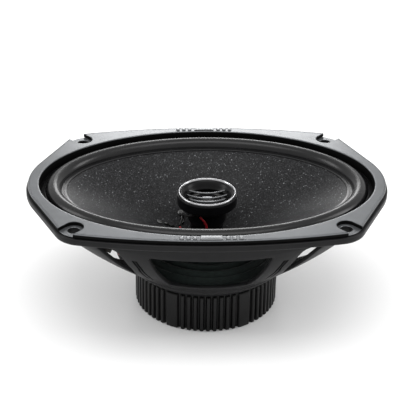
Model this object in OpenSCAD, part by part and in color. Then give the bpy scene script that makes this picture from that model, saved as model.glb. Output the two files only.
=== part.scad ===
/* [Flange] */
// Overall length of the flange, along X
flange_length = 235; // [228:0.5:240]
// Overall width of the flange, along Y
flange_width = 160; // [158:0.5:164]
// Height of the flange's edge
flange_height = 4.3; // [3.8:0.1:5]
// Radius of the rounded ends of the flange
end_radius = 60; // [56:1:66]
// Radius of the four corners of the flange
corner_radius = 19.5; // [17:0.5:22]
// Radius of the long bowed sides of the flange
side_radius = 390; // [370:5:420]

/* [Mounting holes] */
// Distance between hole centres along X
hole_spacing_x = 167; // [165:0.5:169]
// Distance between hole centres along Y
hole_spacing_y = 121; // [119:0.5:122]
// Diameter of the screw holes in the flange
hole_diameter = 6.4; // [5:0.1:6.6]
// Diameter of the clearance holes in the trim ring
ring_hole_diameter = 7.7; // [7:0.1:8]

/* [Trim ring] */
// Height of the trim ring above the flange
ring_height = 3.3; // [2.8:0.1:3.6]
// How far the ring's outer edge stands inside the flange's edge
ring_inset = 1.2; // [0.8:0.1:1.6]
// Half the length of the ring's oval opening
ring_opening_x = 109.2; // [108.8:0.1:109.6]
// Half the width of the ring's oval opening
ring_opening_y = 72.9; // [72.5:0.1:73.2]

/* [Cone and surround] */
// Half the length of the oval that the surround's crest follows
crest_x = 99.85; // [99.5:0.05:100.2]
// Half the width of the oval that the surround's crest follows
crest_y = 63.95; // [63.6:0.05:64.3]
// Radius of the surround's half-round roll
roll_radius = 5.45; // [5.2:0.05:5.6]
// Depth of the cone from its rim to its neck
cone_depth = 34.3; // [33:0.1:35]
// How much the cone flares, 1 being straight
cone_flare = 1.15; // [1:0.01:1.25]

/* [Basket] */
// Distance from the mounting plane down to the basket's rear plate
basket_depth = 51.5; // [51:0.1:52]
// Radius of the basket where the legs end
hub_radius = 55; // [54:0.1:56]
// Thickness factor of the basket wall
basket_wall = 1.8; // [1.6:0.1:2.2]

/* [Motor] */
// Radius of the voice coil former's bore
former_bore = 12.9; // [12.8:0.05:13]
// Radius of the ferrite ring magnet
magnet_radius = 43.4; // [42:0.1:43.5]
// Thickness of the ferrite ring magnet
magnet_height = 15; // [14:0.5:15]
// Outer radius of the rubber boot over its ribs
boot_radius = 47.6; // [47:0.1:48]
// Height of the rubber boot
boot_height = 27.3; // [26:0.1:27.5]

/* [Tweeter] */
// Outer radius of the tweeter housing
tweeter_radius = 19.6; // [19.3:0.1:20]
// Outer radius of the bright trim ring
bright_ring_radius = 19.05; // [19:0.05:19.2]
// Radius of the post that carries the tweeter
post_radius = 10.9; // [10:0.1:11]

/* [Hidden] */
$fn = 96;
loft_sides = 64; // points round each oval ring of a lofted shell
frame_black = [0.10, 0.10, 0.11];
trim_grey = [0.36, 0.38, 0.40];
cone_black = [0.12, 0.12, 0.12];
rubber_black = [0.07, 0.07, 0.07];
steel_grey = [0.70, 0.71, 0.73];
ferrite_black = [0.15, 0.14, 0.14];
copper = [0.72, 0.38, 0.18];
bright_chrome = [0.88, 0.89, 0.90];

// ---- flange outline: tangent arcs for ends, corners and long sides ----
half_length = flange_length / 2;
half_width = flange_width / 2;
corner_x = 77.35;
corner_y = half_width - side_radius
    + sqrt(pow(side_radius - corner_radius, 2) - corner_x * corner_x);
end_centre_x = half_length - end_radius;
corner_run = norm([corner_x - end_centre_x, corner_y]);
diagonal_angle = atan2(corner_y, corner_x - end_centre_x) - acos((end_radius - corner_radius) / corner_run);
side_angle = 90 - asin(corner_x / (side_radius - corner_radius));

function arc_points(centre, radius, from, to, steps) =
    [for (i = [0 : steps]) centre + radius * [cos(from + (to - from) * i / steps), sin(from + (to - from) * i / steps)]];

// One quarter of the outline, set in from the flange's edge
function quarter_outline(inset) = concat(
    arc_points([end_centre_x, 0], end_radius - inset, 0, diagonal_angle, 4),
    arc_points([corner_x, corner_y], corner_radius - inset, diagonal_angle, side_angle, 8),
    arc_points([0, half_width - side_radius], side_radius - inset, side_angle, 90, 5));

function reversed(list) = [for (i = [len(list) - 1 : -1 : 0]) list[i]];
function without_ends(list) = [for (i = [1 : len(list) - 2]) list[i]];

function flange_outline(inset) =
    let (q = quarter_outline(inset), inner = without_ends(q))
    concat(q,
        reversed([for (p = inner) [-p[0], p[1]]]), [[-q[0][0], 0]],
        [for (p = inner) [-p[0], -p[1]]], [[0, -q[len(q) - 1][1]]],
        reversed([for (p = inner) [p[0], -p[1]]]));

function oval_points(a, b, sides) = [for (i = [0 : sides - 1]) [a * cos(360 * i / sides), b * sin(360 * i / sides)]];

// ---- lofted shells: every ring is [half length, half width, height] ----
// A closed band of surface through the rings in order, last ring joined to the first
module lofted_loop(rings, sides) {
    count = len(rings);
    points = [for (r = rings) for (i = [0 : sides - 1])
        [r[0] * cos(360 * i / sides), r[1] * sin(360 * i / sides), r[2]]];
    faces = [for (k = [0 : count - 1]) for (i = [0 : sides - 1])
        let (a = k * sides + i, b = k * sides + (i + 1) % sides,
             c = ((k + 1) % count) * sides + (i + 1) % sides, d = ((k + 1) % count) * sides + i)
        each [[a, b, c], [a, c, d]]];
    polyhedron(points = points, faces = faces, convexity = 6);
}

// ---- smooth tube through hand-set points ----
function blend4(p, i, t) =
    let (n = len(p), a = p[max(i - 1, 0)], b = p[i], c = p[min(i + 1, n - 1)], d = p[min(i + 2, n - 1)])
    0.5 * ((2 * b) + (c - a) * t + (2 * a - 5 * b + 4 * c - d) * t * t + (3 * b - a - 3 * c + d) * t * t * t);
function smooth_path(p, steps) =
    concat([for (i = [0 : len(p) - 2]) for (k = [0 : steps - 1]) blend4(p, i, k / steps)], [p[len(p) - 1]]);
function unit(v) = v / norm(v);
function path_direction(p, i) = unit(p[min(i + 1, len(p) - 1)] - p[max(i - 1, 0)]);

// across is a direction that the path never runs along
module tube_along(route, radius, across, sides = 8, steps = 2) {
    path = smooth_path(route, steps);
    count = len(path);
    rings = [for (i = [0 : count - 1])
        let (along = path_direction(path, i), u = unit(cross(along, across)), v = cross(along, u))
        [for (j = [0 : sides - 1]) path[i] + radius * (cos(360 * j / sides) * u + sin(360 * j / sides) * v)]];
    points = [for (ring = rings) each ring];
    walls = [for (k = [0 : count - 2]) for (j = [0 : sides - 1])
        let (a = k * sides + j, b = k * sides + (j + 1) % sides) each [[a, a + sides, b + sides], [a, b + sides, b]]];
    first_cap = [for (j = [0 : sides - 1]) j];
    last_cap = [for (j = [sides - 1 : -1 : 0]) (count - 1) * sides + j];
    polyhedron(points = points, faces = concat(walls, [first_cap, last_cap]), convexity = 6);
}

module ring_tube(outer, inner, low, high) {
    translate([0, 0, low])
        difference() {
            cylinder(r = outer, h = high - low);
            translate([0, 0, -1]) cylinder(r = inner, h = high - low + 2);
        }
}

// ---- heights ----
ring_top = flange_height + ring_height;
seat_height = 1.0;            // floor of the recess that the surround is glued into
lip_thickness = 0.6;
seat_x = 111.3;
seat_y = 75;
opening_x = 104.5;
opening_y = 68.7;
ring_pad = 0.7;               // what is left of the ring under each screw head
pocket_radius = 6.1;
pocket_angle = 47;
plate_low = -basket_depth;
plate_high = plate_low + 2.5;
top_plate_height = 5;
yoke_height = 5;
magnet_top = plate_low - top_plate_height;
magnet_low = magnet_top - magnet_height;
yoke_low = magnet_low - yoke_height;
boot_low = yoke_low - 2.8;
boot_top = boot_low + boot_height;
neck_radius = former_bore + 0.3;
neck_height = seat_height - cone_depth;
rim_x = crest_x - roll_radius - 0.15;
rim_y = crest_y - roll_radius - 0.15;
rim_width = 3;
ledge_top = -43.3;

// ---- basket ----
leg_top_x = 108;
leg_top_y = 74;
leg_top_z = -8;
leg_low_z = -44;
leg_bulge = 5.5;
// Half length, half width and height of the basket's outside, 0 at the hub and 1 under the flange
function bowl_ring(s) = [
    hub_radius + (leg_top_x - hub_radius) * s + leg_bulge * 4 * s * (1 - s),
    hub_radius + (leg_top_y - hub_radius) * s + 0.6 * leg_bulge * 4 * s * (1 - s),
    leg_low_z + (leg_top_z - leg_low_z) * s];
function bowl_plan(s, angle) = let (r = bowl_ring(s)) [r[0] * sin(angle), -r[1] * cos(angle)];
function inner_ring(r) = [r[0] - basket_wall, r[1] - basket_wall, r[2] + 1.3];
bowl_steps = [for (s = [0 : 0.125 : 1]) bowl_ring(s)];
// The foot of the bowl is solid up to the ring that carries the spider
foot_top = -46.2;
bowl_foot = [[46.8, 46.8, plate_low], [48.2, 48.2, plate_low], [54.4, 54.4, foot_top]];
bowl_outside = concat(bowl_steps, [[109.3, 75, 0.6], [107.4, 73.1, 0.6]]);
bowl_inside = concat(reversed([for (r = bowl_steps) inner_ring(r)]), [[52.3, 52.3, foot_top], [47.1, 47.1, foot_top]]);

// Plan of a window between two heights and two pairs of angles, measured from -Y
function window_plan(low, high, low_angles, high_angles) = concat(
    [for (i = [0 : 6]) bowl_plan(low, low_angles[0] + (low_angles[1] - low_angles[0]) * i / 6)],
    [for (i = [6 : -1 : 0]) bowl_plan(high, high_angles[0] + (high_angles[1] - high_angles[0]) * i / 6)]);

module window_cut(low, high, low_angles, high_angles) {
    translate([0, 0, -48])
        linear_extrude(39.6)
            polygon(window_plan(low, high, low_angles, high_angles));
}

module all_windows() {
    for (turn = [0, 180]) {
        rotate([0, 0, turn]) {
            window_cut(0.17, 0.93, [-22.1, 22.1], [-21.4, 21.4]);
            window_cut(0.08, 0.86, [66, 114], [60.5, 119.5]);
        }
        for (flip = [0, 1]) {
            rotate([0, 0, turn]) mirror([flip, 0, 0]) window_cut(0.34, 0.99, [35.2, 38.4], [32.5, 41.8]);
        }
    }
}

module hole_pattern() {
    for (x = [-1, 1]) {
        for (y = [-1, 1]) {
            translate([x * hole_spacing_x / 2, y * hole_spacing_y / 2, 0]) children();
        }
    }
}

rivet_circle = 33;
module rivet_places() {
    for (i = [0 : 3]) {
        rotate([0, 0, 45 + 90 * i]) translate([rivet_circle, 0, 0]) children();
    }
}

// Frame of the terminal board: sloped like the leg it bridges, with +X towards the hub
module on_board() {
    translate([-68.5, 0, -29.6]) rotate([0, 28.6, 0]) children();
}
board_rivet_y = 20.8;
board_half = 23.4;
board_thick = 2.4;
tab_places = [-14.5, -3];

module basket() {
    color(frame_black)
        difference() {
            union() {
                difference() {
                    lofted_loop(reversed(concat(bowl_foot, bowl_outside, bowl_inside)), loft_sides);
                    all_windows();
                }
                linear_extrude(flange_height) polygon(flange_outline(0));
                translate([0, 0, plate_low]) cylinder(r = 47.8, h = plate_high - plate_low);
                ring_tube(53.2, 46.5, foot_top - 0.4, ledge_top);
                for (y = [-1, 1]) {
                    on_board() translate([0, y * board_rivet_y, -3.1]) cylinder(r = 3.2, h = 1.9, $fn = 32);
                    on_board() translate([0, y * (board_rivet_y + 4.3), -2.15]) cube([6.4, 8.6, 1.9], center = true);
                }
            }
            translate([0, 0, -1]) linear_extrude(10) polygon(oval_points(opening_x, opening_y, 96));
            translate([0, 0, seat_height]) linear_extrude(10) polygon(oval_points(seat_x, seat_y, 96));
            translate([0, 0, plate_low - 1]) cylinder(r = 22, h = 6);
            translate([0, 0, -1]) hole_pattern() cylinder(d = hole_diameter, h = 10);
            translate([0, 0, plate_low - 1]) rivet_places() cylinder(r = 2.05, h = 6);
            for (y = [-1, 1]) {
                on_board() translate([0, y * board_rivet_y, -8]) cylinder(r = 1.6, h = 12, $fn = 32);
            }
        }
}

// ---- trim ring and its plates ----
bump_places = [10, 14, 18];
module ring_bumps() {
    for (side = [-1, 1]) {
        for (x = bump_places) {
            for (end = [-1, 1]) {
                translate([end * x, side * 75.6, ring_top - 0.5])
                    rotate([90, 0, 0]) cylinder(r = 1.3, h = 3.4, center = true, $fn = 32);
            }
        }
    }
}

module screw_pockets() {
    for (x = [0, 1]) {
        for (y = [0, 1]) {
            mirror([x, 0, 0]) mirror([0, y, 0])
                translate([hole_spacing_x / 2, hole_spacing_y / 2, flange_height + ring_pad]) {
                    cylinder(r = pocket_radius, h = 10);
                    rotate([0, 0, pocket_angle]) translate([0, -pocket_radius, 0])
                        cube([40, 2 * pocket_radius, 10]);
                }
        }
    }
}

module trim_ring() {
    color(trim_grey)
        difference() {
            union() {
                translate([0, 0, flange_height])
                    linear_extrude(ring_height) polygon(flange_outline(ring_inset));
                translate([0, 0, seat_height + lip_thickness])
                    linear_extrude(ring_height) polygon(oval_points(seat_x - 0.4, seat_y - 0.4, 96));
                ring_bumps();
            }
            linear_extrude(20) polygon(oval_points(ring_opening_x, ring_opening_y, 96));
            screw_pockets();
            translate([0, 0, -1]) hole_pattern() cylinder(d = ring_hole_diameter, h = 12);
        }
}

module badge_plate(side) {
    color(steel_grey)
        translate([0, side * 75.65, ring_top + 0.45]) cube([13.6, 4.2, 0.9], center = true);
}
module front_badge_plate() { badge_plate(-1); }
module rear_badge_plate() { badge_plate(1); }

// ---- moving parts of the woofer ----
function roll_arc(radius, base, steps) =
    [for (i = [0 : steps]) [radius * cos(180 * i / steps), base + radius * sin(180 * i / steps)]];
lip_top = seat_height + lip_thickness;
surround_profile = concat(
    [[10.8, seat_height], [10.8, lip_top]],
    roll_arc(roll_radius, lip_top - 0.3, 10),
    [[-8.4, lip_top], [-8.4, seat_height]],
    reversed(roll_arc(roll_radius - 0.8, seat_height, 8)));

module surround() {
    color(rubber_black)
        lofted_loop([for (p = reversed(surround_profile)) [crest_x + p[0], crest_y + p[0], p[1]]], loft_sides);
}

cone_top_x = rim_x - rim_width;
cone_top_y = rim_y - rim_width;
// Ring on the cone's front, 0 at the neck and 1 at the flat rim
function cone_ring(t) = [
    neck_radius + (cone_top_x - neck_radius) * t,
    neck_radius + (cone_top_y - neck_radius) * t,
    neck_height + cone_depth * (1 - pow(1 - t, cone_flare))];
function cone_point(t, angle) = let (r = cone_ring(t)) [r[0] * cos(angle), r[1] * sin(angle), r[2]];
function cone_normal(t, angle) =
    unit(cross(cone_point(t + 0.01, angle) - cone_point(t, angle), cone_point(t, angle + 1) - cone_point(t, angle)));
cone_steps = [0, 0.12, 0.25, 0.4, 0.55, 0.7, 0.85, 1];
cone_skin = 0.75;
cone_front = [for (t = cone_steps) cone_ring(t)];
cone_back = [for (t = cone_steps) let (r = cone_ring(t)) [r[0] + 0.35, r[1] + 0.35, r[2] - cone_skin]];

// Places of the two eyelets: position along the cone and direction round it
eyelet_places = [[0.184, 128.2], [0.232, 177]];
module at_cone(t, angle) {
    p = cone_point(t, angle);
    n = cone_normal(t, angle);
    translate(p) rotate([0, acos(n[2]), atan2(n[1], n[0])]) children();
}

module cone() {
    color(cone_black)
        difference() {
            lofted_loop(concat(
                cone_front,
                [[rim_x, rim_y, seat_height], [rim_x, rim_y, seat_height - cone_skin]],
                reversed(cone_back)), loft_sides);
            for (e = eyelet_places) {
                at_cone(e[0], e[1]) cylinder(r = 1.3, h = 6, center = true, $fn = 32);
            }
        }
}

module cone_eyelets() {
    color(bright_chrome)
        for (e = eyelet_places) {
            at_cone(e[0], e[1]) {
                ring_tube(1.15, 0.6, -1.7, 0.6, $fn = 32);
                ring_tube(2.1, 0.6, 0.2, 0.7, $fn = 32);
                ring_tube(1.9, 0.6, -1.9, -1.3, $fn = 32);
            }
        }
}

// Two beads of adhesive that hold the leads down on the cone
module lead_dressing() {
    color(rubber_black)
        for (line = [[0.08, 171.5, 0.195, 176], [0.07, 146, 0.143, 131]]) {
            tube_along([for (i = [0 : 4])
                let (t = line[0] + (line[2] - line[0]) * i / 4, a = line[1] + (line[3] - line[1]) * i / 4)
                cone_point(t, a) + 1.1 * cone_normal(t, a)], 0.85, [0, 1, 0.2], 8, 2);
        }
}

spider_level = -38.5;
spider_inner = former_bore + 0.4;
spider_outer = 53;
wave_start = 17;
wave_end = 46.5;
wave_pitch = 7.3;
wave_height = 1.5;
function spider_height(r) =
    r < wave_start ? spider_level
    : r < wave_end ? spider_level + wave_height * sin(360 * (r - wave_start) / wave_pitch)
    : max(ledge_top + 0.6, spider_level - 1.9 * (r - wave_end));
spider_radii = [for (i = [0 : 56]) spider_inner + (spider_outer - spider_inner) * i / 56];

module spider() {
    color([0.16, 0.20, 0.18])
        rotate_extrude()
            polygon(concat(
                [for (r = spider_radii) [r, spider_height(r)]],
                reversed([for (r = spider_radii) [r, spider_height(r) - 0.55]])));
}

module voice_coil_former() {
    color([0.78, 0.70, 0.55]) ring_tube(former_bore + 0.2, former_bore, -61, neck_height + 0.6);
}

module voice_coil_winding() {
    color(copper) ring_tube(former_bore + 0.8, former_bore + 0.2, -59, -49);
}

// ---- motor ----
module top_plate() {
    color(steel_grey)
        difference() {
            ring_tube(42, former_bore + 1.4, magnet_top, plate_low);
            translate([0, 0, magnet_top - 1]) rivet_places() cylinder(r = 2.05, h = 8);
        }
}

module ferrite_magnet() {
    color(ferrite_black) ring_tube(magnet_radius, 17.5, magnet_low, magnet_top);
}

pole_radius = 12.4;
screw_radius = 2.4;
module t_yoke() {
    color(steel_grey)
        difference() {
            union() {
                translate([0, 0, yoke_low]) cylinder(r = 40, h = yoke_height);
                translate([0, 0, yoke_low + 1]) cylinder(r = pole_radius, h = plate_low - yoke_low - 1);
            }
            translate([0, 0, yoke_low - 1]) cylinder(r = screw_radius + 0.15, h = 40);
            translate([0, 0, yoke_low - 1]) cylinder(r = 5, h = 4.2);
        }
}

// The boot's outline: six wide pads, and nine narrow ribs between each two
rib_step = 5.2;
rib_half = 1.55;
pad_half = 4.9;
rib_angles = concat([0], [for (k = [-4 : 4]) 30 + k * rib_step]);
groove_radius = boot_radius - 2.1;
function tooth(angle, half) = [
    [groove_radius, angle - half - 0.5], [boot_radius, angle - half + 0.1],
    [boot_radius, angle + half - 0.1], [groove_radius, angle + half + 0.5]];
boot_outline = [for (turn = [0 : 5]) for (a = rib_angles)
    each [for (p = tooth(a, a == 0 ? pad_half : rib_half)) [p[0] * cos(p[1] + 60 * turn), p[0] * sin(p[1] + 60 * turn)]]];

module magnet_boot() {
    color(rubber_black)
        difference() {
            union() {
                translate([0, 0, boot_low]) linear_extrude(boot_height - 1.2) polygon(boot_outline);
                translate([0, 0, boot_low]) cylinder(r = groove_radius + 0.1, h = boot_height);
            }
            translate([0, 0, yoke_low - 0.1]) cylinder(r = magnet_radius + 0.15, h = 40);
            translate([0, 0, boot_low - 1]) cylinder(r = 24, h = 6);
        }
}

module motor_rivets() {
    color(steel_grey)
        rivet_places() {
            translate([0, 0, magnet_top + 0.2]) cylinder(r = 2, h = plate_high - magnet_top);
            translate([0, 0, plate_high]) cylinder(r = 3.4, h = 1.3);
        }
}

// ---- terminals and leads ----
board_top = board_thick / 2;
module terminal_board() {
    color(frame_black)
        on_board()
            difference() {
                translate([-6.5, -board_half, -board_top]) cube([13, 2 * board_half, board_thick]);
                for (y = [-1, 1]) {
                    translate([0, y * board_rivet_y, -3]) cylinder(r = 1.6, h = 6, $fn = 32);
                }
                for (y = tab_places) {
                    translate([0, y, -3]) cylinder(r = 1.3, h = 6, $fn = 32);
                }
            }
}

tab_thick = 0.8;
module spade_tab(y, width) {
    color(bright_chrome)
        on_board() {
            difference() {
                translate([-16.5, y - width / 2, board_top]) cube([20, width, tab_thick]);
                translate([-13.5, y, 0]) cylinder(r = 0.9, h = 4, $fn = 32);
            }
            translate([3.4, y - 2.2, board_top]) cube([3.2, 4.4, tab_thick]);
            translate([0, y, -board_top]) cylinder(r = 1.25, h = board_thick + 0.2, $fn = 32);
            translate([0, y, board_top + tab_thick - 0.1]) cylinder(r = 2.2, h = 0.8, $fn = 32);
        }
}
module terminal_positive() { spade_tab(tab_places[0], 6.3); }
module terminal_negative() { spade_tab(tab_places[1], 4.8); }

module terminal_rivets() {
    color(steel_grey)
        for (y = [-1, 1]) {
            on_board() {
                translate([0, y * board_rivet_y, -4.2]) cylinder(r = 1.5, h = 4.2 + board_top, $fn = 32);
                translate([0, y * board_rivet_y, board_top]) cylinder(r = 2.4, h = 0.9, $fn = 32);
            }
        }
}

module crossover_capacitor() {
    color([0.16, 0.22, 0.42])
        on_board() translate([-0.5, 3, board_top + 4.2]) rotate([-90, 0, 0]) cylinder(r = 4.1, h = 15, $fn = 48);
}

// Routes of the leads, each from its terminal to where it ends
positive_route = [
    [-62.5, -13.4, -29.5], [-57, -12.4, -31.3], [-50, -9.8, -33.2], [-43, -5.2, -33.2], [-36.8, -0.6, -30.2], [-32.5, 1.2, -26.8]];
negative_route = [
    [-62.5, -1.9, -29.5], [-56, 1.5, -31.6], [-46, 6.5, -33.6], [-36, 12, -33.3], [-24.5, 17, -30.8], [-17.9, 17.9, -28.4]];
feed_red_route = [
    [-62.5, -15.6, -29.5], [-59.6, -17.2, -30.9], [-58.6, -19, -34.2], [-56.8, -19.2, -37], [-51.5, -16.4, -37.3],
    [-45.5, -11, -34.6], [-40, -6, -29.6], [-35, -2.2, -24.3]];
feed_black_route = [
    [-62.5, -4.1, -29.5], [-57, -2.2, -29.8], [-50, 2, -29.6], [-44, 5, -28.2], [-39, 5.6, -25.8], [-36, 5.2, -23.9]];
wire_red_route = [
    [-17.6, 2.6, -29.2], [-16.2, -4.2, -29.4], [-11.6, -10.6, -27.6], [-5, -14, -25],
    [-0.8, -14.8, -20.6], [-2, -15.4, -15.6], [-5, -15.3, -11.6]];
wire_black_route = [
    [-17.8, 4.8, -29], [-15.8, 9.6, -26.2], [-15.2, 7.6, -22], [-15.4, 0.2, -17.6], [-13.2, -8.2, -14.6], [-9.6, -13, -11.6]];

lead_colour = [0.62, 0.55, 0.42];
module tinsel_lead_positive() { color(lead_colour) tube_along(positive_route, 0.7, [0, 0, 1]); }
module tinsel_lead_negative() { color(lead_colour) tube_along(negative_route, 0.7, [0, 0, 1]); }
module tweeter_feed_red() { color("firebrick") tube_along(feed_red_route, 0.75, [0, 0, 1]); }
module tweeter_feed_black() { color(rubber_black) tube_along(feed_black_route, 0.75, [0, 0, 1]); }
module tweeter_wire_red() { color("firebrick") tube_along(wire_red_route, 0.75, [1, 1, 0]); }
module tweeter_wire_black() { color(rubber_black) tube_along(wire_black_route, 0.75, [1, 0, 0]); }

// ---- tweeter ----
housing_low = -9.5;
housing_top = -2.6;
collar_low = -20.3;
collar_radius = 12.75;
cup_radius = 11.6;
face_floor = -8.6;
mouth_radius = 13;

module tweeter_post() {
    color(frame_black)
        difference() {
            union() {
                translate([0, 0, plate_low]) cylinder(r = post_radius, h = collar_low - plate_low - 3.6);
                translate([0, 0, collar_low - 3.7]) cylinder(r1 = post_radius, r2 = collar_radius - 0.1, h = 3.7);
            }
            translate([0, 0, plate_low + 6]) cylinder(r = 8.6, h = 40);
            translate([0, 0, plate_low - 1]) cylinder(r = screw_radius + 0.05, h = 10);
        }
}

module post_screw() {
    color(steel_grey) {
        translate([0, 0, yoke_low + 0.2]) cylinder(r = 4.6, h = 3);
        translate([0, 0, yoke_low + 3]) cylinder(r = screw_radius, h = plate_low - yoke_low + 4);
    }
}

module tweeter_housing() {
    color(frame_black)
        rotate_extrude()
            polygon([
                [4, collar_low], [collar_radius, collar_low], [collar_radius, housing_low],
                [tweeter_radius - 0.6, housing_low], [tweeter_radius, housing_low + 0.6], [tweeter_radius, housing_top],
                [17.5, housing_top], [17.5, face_floor], [cup_radius + 0.05, face_floor],
                [cup_radius + 0.05, -18], [4, -18]]);
}

module tweeter_clamp_ring() {
    color(bright_chrome) {
        ring_tube(14.7, collar_radius + 0.1, housing_low - 1, housing_low);
        for (x = [-1, 1]) {
            translate([x * 14.9, -1, housing_low - 0.8]) cube([2.4, 2.2, 1.6], center = true);
        }
    }
}

module tweeter_cup() {
    color(steel_grey)
        difference() {
            translate([0, 0, -18]) cylinder(r = cup_radius, h = 8.4);
            translate([0, 0, -16.8]) cylinder(r = 10.6, h = 10);
        }
}

module tweeter_magnet() { color(ferrite_black) translate([0, 0, -16.8]) cylinder(r = 8.8, h = 5.2); }

module tweeter_pole_plate() { color(steel_grey) translate([0, 0, -11.6]) cylinder(r = 9.2, h = 1.7); }

dome_radius = 10.05;
dome_rise = 1.1;
dome_base = -8.5;
dome_sphere = (dome_radius * dome_radius + dome_rise * dome_rise) / (2 * dome_rise);
module tweeter_coil() { color(copper) ring_tube(dome_radius, dome_radius - 0.4, -12.6, dome_base); }

module tweeter_dome() {
    color([0.16, 0.16, 0.18])
        translate([0, 0, dome_base])
            intersection() {
                translate([0, 0, dome_rise - dome_sphere])
                    difference() {
                        sphere(r = dome_sphere);
                        sphere(r = dome_sphere - 0.25);
                    }
                cylinder(r = dome_radius, h = 5);
            }
}

module tweeter_suspension() {
    color(rubber_black)
        translate([0, 0, face_floor])
            rotate_extrude()
                polygon(concat(
                    [[13.4, 0], [13.4, 0.25]],
                    [for (i = [0 : 6]) [11.3 + 1.1 * cos(30 * i), 0.25 + 0.8 * sin(30 * i)]],
                    [for (i = [6 : -1 : 0]) [11.3 + 0.9 * cos(30 * i), 0.6 * sin(30 * i)]]));
}

bar_pitch = 6;
bar_width = 1.7;
bar_sag = 2.7;
bar_level = -6.3;
bar_sphere = (mouth_radius * mouth_radius + bar_sag * bar_sag) / (2 * bar_sag);
module tweeter_face() {
    color(trim_grey) {
        rotate_extrude()
            polygon([
                [17.4, -1.5], [16.9, -1.5], [15, -3.3], [mouth_radius, bar_level + 0.3], [mouth_radius, -6.8],
                [14.2, -6.4], [16.1, -4.6], [16.1, face_floor + 0.1], [17.4, face_floor + 0.1]]);
        for (i = [-1 : 1]) {
            intersection() {
                translate([0, 0, bar_level + bar_sphere])
                    difference() {
                        sphere(r = bar_sphere + 0.6);
                        sphere(r = bar_sphere - 0.6);
                    }
                translate([0, i * bar_pitch, 0]) cube([40, bar_width, 16], center = true);
                translate([0, 0, -8]) cylinder(r = mouth_radius + 0.6, h = 8);
            }
        }
        translate([0, 0, bar_level + 0.5]) cube([6.6, 2.4, 1], center = true);
    }
}

module tweeter_trim_ring() {
    color(bright_chrome)
        rotate_extrude() {
            polygon([[17.5, housing_top], [bright_ring_radius, housing_top], [bright_ring_radius, -1.5], [17.5, -1.5]]);
            translate([(17.5 + bright_ring_radius) / 2, -1.5]) circle(r = (bright_ring_radius - 17.5) / 2, $fn = 32);
        }
}

basket();
trim_ring();
front_badge_plate();
rear_badge_plate();
surround();
cone();
spider();
voice_coil_former();
voice_coil_winding();
cone_eyelets();
lead_dressing();
top_plate();
ferrite_magnet();
t_yoke();
magnet_boot();
motor_rivets();
tinsel_lead_positive();
tinsel_lead_negative();
terminal_board();
terminal_positive();
terminal_negative();
terminal_rivets();
crossover_capacitor();
tweeter_feed_red();
tweeter_feed_black();
tweeter_wire_red();
tweeter_wire_black();
tweeter_post();
post_screw();
tweeter_housing();
tweeter_clamp_ring();
tweeter_cup();
tweeter_magnet();
tweeter_pole_plate();
tweeter_coil();
tweeter_dome();
tweeter_suspension();
tweeter_face();
tweeter_trim_ring();
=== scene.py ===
import bpy, bmesh, math
import numpy as np
from mathutils import Matrix, Vector
from mathutils.geometry import delaunay_2d_cdt


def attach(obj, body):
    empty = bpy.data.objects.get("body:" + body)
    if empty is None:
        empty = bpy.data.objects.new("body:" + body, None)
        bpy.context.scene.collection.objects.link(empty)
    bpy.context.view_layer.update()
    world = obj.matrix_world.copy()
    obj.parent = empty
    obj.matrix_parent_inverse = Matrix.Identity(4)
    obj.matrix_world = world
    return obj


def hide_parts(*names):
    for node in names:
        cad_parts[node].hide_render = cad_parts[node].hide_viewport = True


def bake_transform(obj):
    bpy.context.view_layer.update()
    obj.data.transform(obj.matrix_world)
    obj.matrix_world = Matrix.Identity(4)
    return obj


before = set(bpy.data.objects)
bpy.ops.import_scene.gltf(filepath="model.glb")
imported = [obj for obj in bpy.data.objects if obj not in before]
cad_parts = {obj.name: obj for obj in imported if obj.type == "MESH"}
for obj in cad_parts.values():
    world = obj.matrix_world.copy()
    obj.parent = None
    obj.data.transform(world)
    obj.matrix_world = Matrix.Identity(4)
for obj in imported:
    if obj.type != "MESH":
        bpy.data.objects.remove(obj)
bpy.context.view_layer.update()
mm = 0.001


def gridFaces(rows, cols, closeRows=False, closeCols=False):
    # quads between neighbouring rows and columns of a grid of points
    i = np.arange(rows if closeRows else rows - 1)
    j = np.arange(cols if closeCols else cols - 1)
    i, j = np.meshgrid(i, j, indexing="ij")
    up, right = (i + 1) % rows, (j + 1) % cols
    return np.stack([i * cols + j, up * cols + j, up * cols + right, i * cols + right], -1).reshape(-1, 4)


def gridPatch(points, closeRows=False, closeCols=False):
    rows, cols = points.shape[:2]
    return points.reshape(-1, 3), gridFaces(rows, cols, closeRows, closeCols)


def capPatch(ring):
    # a fan from the ring's middle, given back as triangles
    count = len(ring)
    middle = ring.mean(0, keepdims=True)
    k = np.arange(count)
    return np.vstack([ring, middle]), np.stack([k, (k + 1) % count, np.full(count, count)], -1)


def meshPiece(name, patches, material, smooth=30.0, weld=1e-6):
    # joins the patches, merges their shared points and turns every face outwards
    points, faces, start = [], [], 0
    for verts, polys in patches:
        points.append(np.asarray(verts, float))
        faces.extend((np.asarray(polys) + start).tolist())
        start += len(verts)
    mesh = bpy.data.meshes.new(name)
    mesh.from_pydata((np.vstack(points) * mm).tolist(), [], faces)
    work = bmesh.new()
    work.from_mesh(mesh)
    bmesh.ops.remove_doubles(work, verts=work.verts, dist=weld)
    bmesh.ops.dissolve_degenerate(work, edges=work.edges, dist=weld)
    bmesh.ops.recalc_face_normals(work, faces=work.faces)
    work.to_mesh(mesh)
    work.free()
    mesh.shade_smooth()
    mesh.set_sharp_from_angle(angle=math.radians(smooth))
    mesh.materials.append(material)
    piece = bpy.data.objects.new(name, mesh)
    bpy.context.scene.collection.objects.link(piece)
    return piece


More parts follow.
